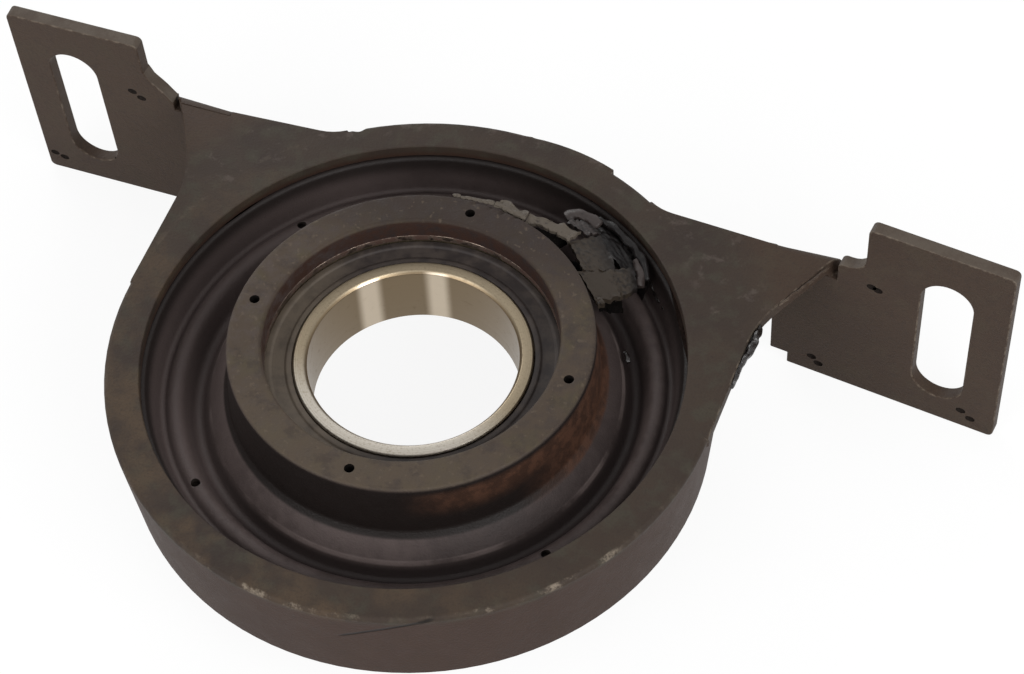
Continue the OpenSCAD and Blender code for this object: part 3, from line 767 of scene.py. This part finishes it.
def section_of(node):
    bm = bmesh.new()
    bm.from_mesh(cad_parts[node].data)
    bmesh.ops.remove_doubles(bm, verts=bm.verts, dist=WELD)
    turn = Matrix.Rotation(-CLEAR_ANGLE, 3, "Z")
    bmesh.ops.rotate(bm, verts=bm.verts, cent=(0, 0, 0), matrix=turn)
    bmesh.ops.bisect_plane(
        bm, geom=bm.verts[:] + bm.edges[:] + bm.faces[:], dist=WELD, plane_co=(0, 0, 0),
        plane_no=(0, 1, 0), clear_inner=True, clear_outer=True,
    )
    bmesh.ops.delete(bm, geom=[v for v in bm.verts if v.co.x < 0], context="VERTS")
    bmesh.ops.dissolve_limit(bm, angle_limit=STRAIGHT, verts=bm.verts, edges=bm.edges)
    return bm


def split_long(bm, longest):
    """Splits the edges of a section so that none is longer than this many millimetres."""
    for edge in bm.edges[:]:
        cuts = int(edge.calc_length() / MM / longest)
        if cuts:
            bmesh.ops.subdivide_edges(bm, edges=[edge], cuts=cuts)


def round_corners(bm, radius):
    corners = [v for v in bm.verts if len(v.link_edges) == 2 and v.calc_edge_angle(0) > CORNER]
    bmesh.ops.bevel(
        bm, geom=corners, offset=radius * MM, offset_type="OFFSET", segments=3, profile=0.5,
        affect="VERTICES", clamp_overlap=True, material=-1,
    )


def spin_section(bm, steps):
    bmesh.ops.spin(
        bm, geom=bm.verts[:] + bm.edges[:], cent=(0, 0, 0), axis=(0, 0, 1),
        angle=2 * math.pi, steps=steps, use_merge=True,
    )
    bmesh.ops.remove_doubles(bm, verts=bm.verts, dist=WELD)
    bmesh.ops.recalc_face_normals(bm, faces=bm.faces)
    return bm


def turned(node, corner, steps):
    bm = section_of(node)
    round_corners(bm, corner)
    print(node, "section has", len(bm.verts), "points")
    return spin_section(bm, steps)


print("sections are cut at", round(math.degrees(CLEAR_ANGLE)), "degrees")

# %% [markdown]
# ## The bearing
#
# The rings, the seals and the sleeve come straight off that lathe. Only their corners differ: the
# ground rings have crisp small ones, the rubber seals and the pressed sleeve softer ones.

# %% Turn the ring, seals, sleeve and outer race
RING_STEPS = 256
GROUND_CORNER = 0.12
SEAL_CORNER = 0.2
PRESSED_CORNER = 0.25


def ring(name, node, corner, material, body="bracket_unit"):
    return piece(name, turned(node, corner, RING_STEPS), material, body, [node])


ring("inner_ring", "inner_race", GROUND_CORNER, RING_STEEL, "shaft_ring")
ring("outer_ring", "outer_race", GROUND_CORNER, RING_STEEL)
ring("front_seal_ring", "front_seal", SEAL_CORNER, SEAL)
ring("rear_seal_ring", "rear_seal", SEAL_CORNER, SEAL)
ring("bearing_sleeve", "carrier_sleeve", PRESSED_CORNER, SLEEVE)

# %% [markdown]
# ## The rubber moulding
#
# The moulding is spun from its section too, with short edges so that damage can be pushed into it.
# Beside the tear, the outer edge of the nose is chewed. A cut-out would leave hard, machined walls, so
# the vertices near that edge are moved down instead, by noise that is weighted by angle and radius.

# %% Spin the moulding and chew the edge of its nose
RUBBER_STEPS = 400
RUBBER_EDGE = 0.75
CHEWED = (68.0, 97.0)
CHEW_DEPTH = 0.9


def chew_nose(bm):
    for v in bm.verts:
        radius = math.hypot(v.co.x, v.co.y) / MM
        height = v.co.z / MM
        if radius < NOSE_R - 3 or radius > NOSE_R + 1 or height < 6:
            continue
        degrees = math.degrees(math.atan2(v.co.y, v.co.x))
        begun = soft_step(degrees, CHEWED[0], CHEWED[0] + 4)
        chewed = begun * soft_step(degrees, CHEWED[1], CHEWED[1] - 6)
        at_edge = soft_step(radius, NOSE_R - 1.6, NOSE_R - 0.4) * soft_step(height, 9, 12)
        bite = noise.noise(v.co / MM * 0.9) + 0.5 * noise.noise(v.co / MM * 2.1)
        v.co.z -= max(bite, 0.0) * CHEW_DEPTH * chewed * at_edge * MM


def rubber_moulding():
    bm = section_of("rubber_mount")
    split_long(bm, RUBBER_EDGE)
    spin_section(bm, RUBBER_STEPS)
    chew_nose(bm)
    return piece("rubber_moulding", bm, RUBBER, replaces=["rubber_mount"])


moulding = rubber_moulding()

# %% [markdown]
# ## Pin holes and mould marks
#
# Four small holes in the nose held the sleeve in its mould, and four shallow marks lie on the ridge.
# Neither set is quite evenly spaced, so their angles are listed. They are too deep for bump to show
# from every side, so each is cut by a plain cone that is a little wider at its top. The holes are lined
# with black, the marks with a dark lining.

# %% Drill the holes
PIN_CIRCLE_R = 31.2
PIN_R = 0.9
PIN_DEPTH = 3.0
MARK_CIRCLE_R = 46.1
MARK_R = 0.9
MARK_Z = -1.7
MARK_DEPTH = 1.0
PINS = (0, 90, 182.2, -89.3)
MARKS = (52, 141, -131.6, -37.8)
DRILL_TOP = 1.5
DRILL_SIDES = 28
# The radii of a cone's two ends, as shares of the hole's radius
DRILL_TIP = 0.9
DRILL_MOUTH = 1.15


def drill(bm, mouth, radius, depth):
    """A cone whose wide end stands above the mouth of the hole."""
    middle = mouth + Vector((0, 0, (DRILL_TOP - depth) / 2 * MM))
    bmesh.ops.create_cone(
        bm, cap_ends=True, segments=DRILL_SIDES, radius1=DRILL_TIP * radius * MM,
        radius2=DRILL_MOUTH * radius * MM, depth=(DRILL_TOP + depth) * MM,
        matrix=Matrix.Translation(middle),
    )


def holes(angles, circle, height, radius, depth):
    bm = bmesh.new()
    for angle in angles:
        drill(bm, polar(circle, angle, height), radius, depth)
    return bm


carve(moulding, holes(PINS, PIN_CIRCLE_R, NOSE_Z, PIN_R, PIN_DEPTH), HOLLOW)
carve(moulding, holes(MARKS, MARK_CIRCLE_R, MARK_Z, MARK_R, MARK_DEPTH), DARK_LINING)

# %% [markdown]
# ## Ragged cords
#
# Several bits of damage are long and thin: the curled edge of a flap, a glossy twig, a bead of flash.
# They could be curves with a bevel, but those can't vary round their girth. So a grid is rolled into a
# tube along a route, noise makes it uneven, and its seam and pinched ends are welded.

# %% Roll a grid into a ragged cord
CORD_SIDES = 12


def ragged_cord(bm, route, size, seed, flat=(1.0, 1.0), uneven=0.5):
    """A closed cord along a list of points in metres, this many millimetres in radius."""
    last = len(route) - 1
    grid = bmesh.ops.create_grid(bm, x_segments=last, y_segments=CORD_SIDES, size=0.5)["verts"]
    for v in grid:
        step = round((v.co.x + 0.5) * last)
        turn = 2 * math.pi * v.co.y
        ahead = route[min(step + 1, last)] - route[max(step - 1, 0)]
        pinch = min(min(step, last - step) / 3, 1) ** 0.5
        corner = Vector((math.cos(turn) * flat[0], math.sin(turn) * flat[1], 0))
        girth = 1 + uneven * noise.noise(route[step] / MM * 0.6 + corner * 0.7 + Vector((seed, 0, 0)))
        v.co = route[step] + ahead.to_track_quat("Z", "Y") @ corner * girth * pinch * size * MM
    return grid


def smooth_route(places, count):
    """Evenly shared points through places given as angle, radius and height, as a smooth curve."""
    route = []
    spans = len(places) - 1
    for step in range(count):
        share = step / (count - 1) * spans
        leg = min(int(share), spans - 1)
        before, here, there, after = (
            Vector(places[min(max(leg + k, 0), spans)]) for k in (-1, 0, 1, 2)
        )
        t = share - leg
        bend = (2 * here - 2 * there + (there - before + after - here) / 2) * t ** 3
        sway = (3 * (there - here) - (there - before) - (after - here) / 2) * t ** 2
        degrees, radius, height = here + (there - before) / 2 * t + sway + bend
        route.append(polar(radius, degrees, height))
    return route


def seal_up(bm):
    """Welds seams and pinched ends, then turns all faces outward."""
    bmesh.ops.remove_doubles(bm, verts=bm.verts, dist=WELD)
    bmesh.ops.recalc_face_normals(bm, faces=bm.faces)
    return bm


print("a cord has", CORD_SIDES, "sides")

# %% [markdown]
# ## The torn flap
#
# At the upper right the skin of the folded wall has ripped loose and lies between the nose and the
# ridge: broken plates that show its fresh inside, a black skin whose outer edge has curled into a roll,
# and a paler lip at one end. Black plates underneath stand for the hollows that no light reaches. A
# cloth simulation would need pins and luck. Each plate is a grid that is stretched over four places,
# frayed along its edges, crumpled a little and given a thickness. The roll and its ends are cords.

# %% Break the flap into plates
FRAY_SEED = 1
PLATE_STEPS = 26
PLATE_T = 1.3
PLATE_FRAY = 0.4
FRAYED_SHARE = 0.2
# Lumps of noise per millimetre, for the crumpling, the pits and the frayed edges
CRUMPLE_SCALE = 0.28
PIT_SCALE = 1.6
FRAY_SCALE = 0.9
PIT_DEPTH = 0.3
CORD_POINTS = 50
CORD_UNEVEN = 0.45
TORN_SHARP = math.radians(50)
# Each plate: its corners (inner and outer at one end, outer and inner at the other) as angle, radius
# and height, how much it is crumpled in millimetres, and how far it darkens towards its outer edge
PLATES = [
    ([(58.6, 37.6, 11.3), (57.4, 44.8, 7.9), (46.2, 43.0, 7.2), (47.6, 36.2, 10.9)], 0.35, 0.8),
    ([(47.6, 35.2, 10.8), (46.8, 42.0, 8.0), (38.0, 41.0, 7.5), (37.2, 36.2, 8.8)], 0.12, 0.0),
    ([(46.8, 41.3, 8.1), (46.6, 46.8, 5.8), (41.0, 45.4, 5.0), (38.2, 40.2, 7.4)], 0.6, 0.9),
    ([(38.4, 36.2, 9.4), (38.2, 37.4, 9.2), (36.4, 37.6, 8.2), (36.6, 36.4, 7.8)], 0.2, 0.0),
]
SKINS = [
    ([(61.0, 44.4, 7.4), (61.0, 48.6, 6.2), (44.4, 48.6, 4.2), (45.6, 44.2, 6.2)], 0.6, 1.0),
    ([(64.0, 48.4, 5.6), (63.0, 47.2, -2.4), (44.0, 47.2, -2.6), (43.0, 48.4, 3.6)], 0.3, 0.4),
]
LIPS = [
    ([(64.0, 40.6, 11.2), (64.4, 45.0, 7.9), (59.0, 46.4, 7.1), (58.0, 42.0, 9.6)], 0.8, 0.9),
]
HOLLOWS = [
    ([(72.0, 35.0, 10.8), (71.0, 36.0, 10.4), (61.5, 39.6, 8.6), (62.0, 35.4, 8.8)], 0.1, 0.0),
    ([(58.0, 37.4, 5.5), (58.0, 45.0, 2.5), (40.2, 42.4, 0.8), (39.8, 37.4, 4.4)], 0.2, 0.0),
]
# Cords: places along each as angle, radius and height
CURL = [
    (63.2, 47.7, 6.6), (58.5, 48.7, 6.6), (53.5, 49.0, 6.3),
    (49.2, 49.2, 5.8), (45.8, 49.0, 5.0), (43.2, 48.2, 3.8),
]
CURL_END = [(49.0, 48.4, 4.8), (46.6, 48.2, 4.6), (44.6, 47.6, 4.2), (42.6, 46.4, 3.4)]
LUMP = [(68.4, 43.2, 7.6), (66.8, 45.2, 8.0), (64.0, 46.2, 7.8), (60.4, 46.8, 7.1)]


def plate(bm, corners, crumple, darkens, seed, thickness=PLATE_T, fray=PLATE_FRAY):
    """A crumpled sheet over four corners; its pits attribute says how dark each place is."""
    pits = bm.verts.layers.float["pits"]
    grid = bmesh.ops.create_grid(bm, x_segments=PLATE_STEPS, y_segments=PLATE_STEPS, size=0.5)["verts"]
    near_in, near_out, far_out, far_in = (Vector(corner) for corner in corners)
    for v in grid:
        along, across = v.co.x + 0.5, v.co.y + 0.5
        rim = min(along, 1 - along, across, 1 - across)
        place = near_in.lerp(near_out, across).lerp(far_in.lerp(far_out, across), along)
        spot = polar(place.y, place.x, place.z)
        lift = noise.noise(spot / MM * CRUMPLE_SCALE + Vector((0, 0, seed)))
        fine = noise.noise(spot / MM * PIT_SCALE + Vector((seed, 0, 0)))
        ragged = noise.noise_vector(spot / MM * FRAY_SCALE + Vector((0, seed, 0)))
        ragged *= soft_step(rim, FRAYED_SHARE, 0.0) * fray * MM
        v[pits] = darkens * max(soft_step(across, 0.45, 1.0), 0.8 * soft_step(fine, 0.0, 0.3))
        v.co = spot + Vector((0, 0, (crumple * lift + PIT_DEPTH * darkens * fine) * MM)) + ragged
    faces = list(dict.fromkeys(face for v in grid for face in v.link_faces))
    bmesh.ops.solidify(bm, geom=faces, thickness=thickness * MM)


def torn(name, plates, material, cords=()):
    bm = bmesh.new()
    bm.verts.layers.float.new("pits")
    for seed, (corners, crumple, darkens) in enumerate(plates):
        plate(bm, corners, crumple, darkens, 3.7 * seed)
    for seed, (places, radius, flat) in enumerate(cords):
        ragged_cord(bm, smooth_route(places, CORD_POINTS), radius, 4.0 + 2 * seed, flat, CORD_UNEVEN)
    return piece(name, seal_up(bm), material, sharp=TORN_SHARP)


# Noise vectors depend on a seed that Blender takes from the clock, so it is set here
noise.seed_set(FRAY_SEED)
torn("torn_flap", PLATES, TORN)
torn("torn_skin", SKINS, SKIN, [(CURL, 0.8, (1, 1))])
torn("torn_lips", LIPS, LIP, [(CURL_END, 1.1, (1, 1)), (LUMP, 1.0, (1.3, 0.8))])
torn("torn_hollow", HOLLOWS, HOLLOW)

# %% [markdown]
# ## The peeled strip and the crumbs
#
# The edge of the nose has peeled off as a pale strip that leads to the flap, and beyond it the edge is
# chewed into crumbs. The strip is two thin plates with badly frayed edges. A crumb is a small ball that
# noise has knocked out of shape. Two glossy bits lie further down, on the wall and on the crest, and
# those are cords.

# %% Peel the strip and scatter the crumbs
SHREDS = [
    ([(72.4, 34.8, 12.9), (72.4, 36.4, 12.9), (58.8, 40.8, 11.5), (57.8, 38.0, 11.6)], 0.3),
    ([(83.4, 34.8, 13.0), (82.6, 36.7, 12.8), (73.2, 36.6, 12.8), (72.6, 35.0, 12.9)], 0.5),
]
SHRED_T = 0.8
SHRED_FRAY = 0.8
CRUMBS = {"from": 74.0, "to": 97.0, "count": 13, "radius": 35.2, "height": 12.8, "size": 0.55}
CRUMB_SHAPE = (1.7, 0.9, 0.6)
TWIG = [(46.0, 50.0, 1.0), (42.0, 49.9, 0.0), (37.0, 50.2, 0.2)]
CREST_BIT = [(30.0, 40.4, -2.4), (28.0, 40.7, -2.2), (26.0, 40.5, -2.4)]
BIT_R = 0.5
BIT_UNEVEN = 0.9


def crumb(bm, place, size, seed):
    stretch = Matrix.Rotation(seed, 4, "Z") @ Matrix.Diagonal((*CRUMB_SHAPE, 1))
    ball = bmesh.ops.create_icosphere(bm, subdivisions=3, radius=1.0)["verts"]
    for v in ball:
        dent = 1 + 0.35 * noise.noise(v.co * 1.1 + Vector((seed, 0, 0)))
        v.co = place + stretch @ (v.co * dent * size * MM)


def peeled_edge():
    bm = bmesh.new()
    bm.verts.layers.float.new("pits")
    for seed, (corners, crumple) in enumerate(SHREDS):
        plate(bm, corners, crumple, 0.0, 5.3 * seed, SHRED_T, SHRED_FRAY)
    span = CRUMBS["to"] - CRUMBS["from"]
    for step in range(CRUMBS["count"]):
        wander = noise.noise(Vector((step * 1.7, 2.3, 0.4)))
        degrees = CRUMBS["from"] + span * (step + 0.4 * wander) / (CRUMBS["count"] - 1)
        place = polar(CRUMBS["radius"] + 0.5 * wander, degrees, CRUMBS["height"] + 0.4 * wander)
        crumb(bm, place, CRUMBS["size"] * (1 + 0.5 * wander), math.radians(degrees + 90))
    return piece("peeled_edge", seal_up(bm), FRAYED)


def shiny_bits():
    bm = bmesh.new()
    ragged_cord(bm, smooth_route(TWIG, 30), BIT_R, 5.0, uneven=BIT_UNEVEN)
    ragged_cord(bm, smooth_route(CREST_BIT, 20), BIT_R, 15.0, uneven=BIT_UNEVEN)
    return piece("shiny_bits", seal_up(bm), TAR)


peeled_edge()
shiny_bits()

# %% [markdown]
# ## Flash and burr on the right web
#
# When the rubber was moulded, some ran out between the tool and the sheet, and set as a shiny bead
# down the edge of the right web. Above it the shear left a bright burr along the same edge. Both could
# be lines in the finish, but they stand up from the edge, so they are cords too.

# %% Bead the flash and raise the burr
WEB_Z = 6.2
FLASH_R = 0.75
BURR_R = 0.26
FLASH = [(59.4, 28.0), (59.6, 24.4), (58.9, 20.0), (58.5, 16.2), (58.1, 12.4)]
BURR = [(61.4, 32.8), (63.6, 36.8), (65.5, 40.2), (68.0, 44.6)]


def edge_route(corners, height, count):
    """Evenly spread points along a bent line on the web's edge, given as x and y in millimetres."""
    spans = len(corners) - 1
    route = []
    for step in range(count):
        share = step / (count - 1) * spans
        leg = min(int(share), spans - 1)
        spot = Vector(corners[leg]).lerp(Vector(corners[leg + 1]), share - leg)
        wander = 0.5 * noise.noise(Vector((spot.x, spot.y, 4.0)) * 0.5)
        route.append(Vector((spot.x, spot.y, height + wander)) * MM)
    return route


def flash_bead():
    bm = bmesh.new()
    ragged_cord(bm, edge_route(FLASH, WEB_Z, 90), FLASH_R, 21.0, (0.8, 1.2), 0.7)
    return piece("rubber_flash", seal_up(bm), TAR)


def web_burr():
    bm = bmesh.new()
    worn = bm.faces.layers.float.new("worn_edge")
    ragged_cord(bm, edge_route(BURR, FACE_Z - 0.1, 70), BURR_R, 33.0, (1.0, 1.0), 0.8)
    for face in bm.faces:
        face[worn] = 1.0
    return piece("web_burr", seal_up(bm), STEEL_COAT)


flash_bead()
web_burr()

# %% [markdown]
# ## The parts behind the seals
#
# The balls, the cage and its rivets are whole CAD nodes and stay as they are. They only need their
# steel. A node's own material slot takes it, so the shape and the motion aren't touched.

# %% Give the hidden parts their steel
def dress(node, material):
    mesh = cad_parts[node].data
    mesh.materials.clear()
    mesh.materials.append(material)


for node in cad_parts:
    if node.startswith("ball_"):
        dress(node, BALL_STEEL)
    if node.startswith("cage_"):
        dress(node, CAGE_STEEL)
print("dressed", sum(node.startswith(("ball_", "cage_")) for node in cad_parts), "hidden parts")

# %% [markdown]
# ## Floor, world and light
#
# The photograph is cut out on white. A white floor that the camera, gloss and glass see as plain white
# keeps that look, and a share of ordinary white paint in it keeps a trace of the shadow. Three large
# soft panels light the object at a level where a colour comes out about as it is written.

# %% Lay the floor
FLOOR_SIZE = 3.0
FLOOR_GAP = 0.1 * MM
SHADOW_SHARE = 0.1
WHITE = (1, 1, 1, 1)
WHITE_PAINT = (0.9, 0.9, 0.9, 1)


def seen_directly(wire):
    """1 for what the camera, a gloss or a clear body sees, 0 for light that only bounces."""
    rays = ("Is Camera Ray", "Is Glossy Ray", "Is Transmission Ray")
    seen = [wire.node("LightPath", output=ray) for ray in rays]
    return wire.maths("MAXIMUM", wire.maths("MAXIMUM", seen[0], seen[1]), seen[2])


def white_floor():
    material = bpy.data.materials.new("white_floor")
    material.use_nodes = True
    tree = material.node_tree
    tree.nodes.remove(tree.nodes["Principled BSDF"])
    wire = Wire(tree)
    paint = wire.node("BsdfDiffuse", None, {"Color": WHITE_PAINT})
    glow = wire.node("Emission", None, {"Color": WHITE, "Strength": 1.0})
    share = seen_directly(wire) * (1 - SHADOW_SHARE)
    blend = wire.node("MixShader", None, {0: share, 1: paint, 2: glow})
    tree.links.new(blend.socket, tree.nodes["Material Output"].inputs["Surface"])
    return material


bm = bmesh.new()
bmesh.ops.create_grid(bm, x_segments=1, y_segments=1, size=FLOOR_SIZE / 2)
bmesh.ops.translate(bm, verts=bm.verts, vec=(0, 0, CAD_BOX[0].z - FLOOR_GAP))
floor_mesh = bpy.data.meshes.new("floor")
bm.to_mesh(floor_mesh)
bm.free()
floor_mesh.materials.append(white_floor())
floor = bpy.data.objects.new("floor", floor_mesh)
scene.collection.objects.link(floor)
print("floor at z", round(CAD_BOX[0].z / MM, 1), "mm")

# %% Light the world and hang three soft panels
WORLD_LIGHT = 0.55
# Each panel: its place and its side in metres, and its power in watts
PANELS = {
    "panel_key": ((0.75, -0.45, 0.6), 0.6, 8.0),
    "panel_fill": ((-0.4, -0.8, 0.45), 0.6, 5.0),
    "panel_back": ((-0.55, 0.6, 0.35), 0.5, 3.0),
}
world = bpy.data.worlds.new("studio")
world.use_nodes = True
scene.world = world
wire = Wire(world.node_tree)
background = world.node_tree.nodes["Background"]
background.inputs["Color"].default_value = WHITE
strength = WORLD_LIGHT + (1 - WORLD_LIGHT) * seen_directly(wire)
world.node_tree.links.new(strength.socket, background.inputs["Strength"])

for name, (spot, size, watts) in PANELS.items():
    light = bpy.data.lights.new(name, "AREA")
    light.shape = "SQUARE"
    light.size = size
    light.energy = watts
    panel = bpy.data.objects.new(name, light)
    panel.location = spot
    panel.rotation_mode = "QUATERNION"
    panel.rotation_quaternion = (-Vector(spot)).to_track_quat("-Z", "Y")
    scene.collection.objects.link(panel)
print("lit by", list(PANELS))

# %% [markdown]
# ## The end
#
# The dressed part has to stay inside the imported model's box.

# %% Finish
print("the scene is dressed")
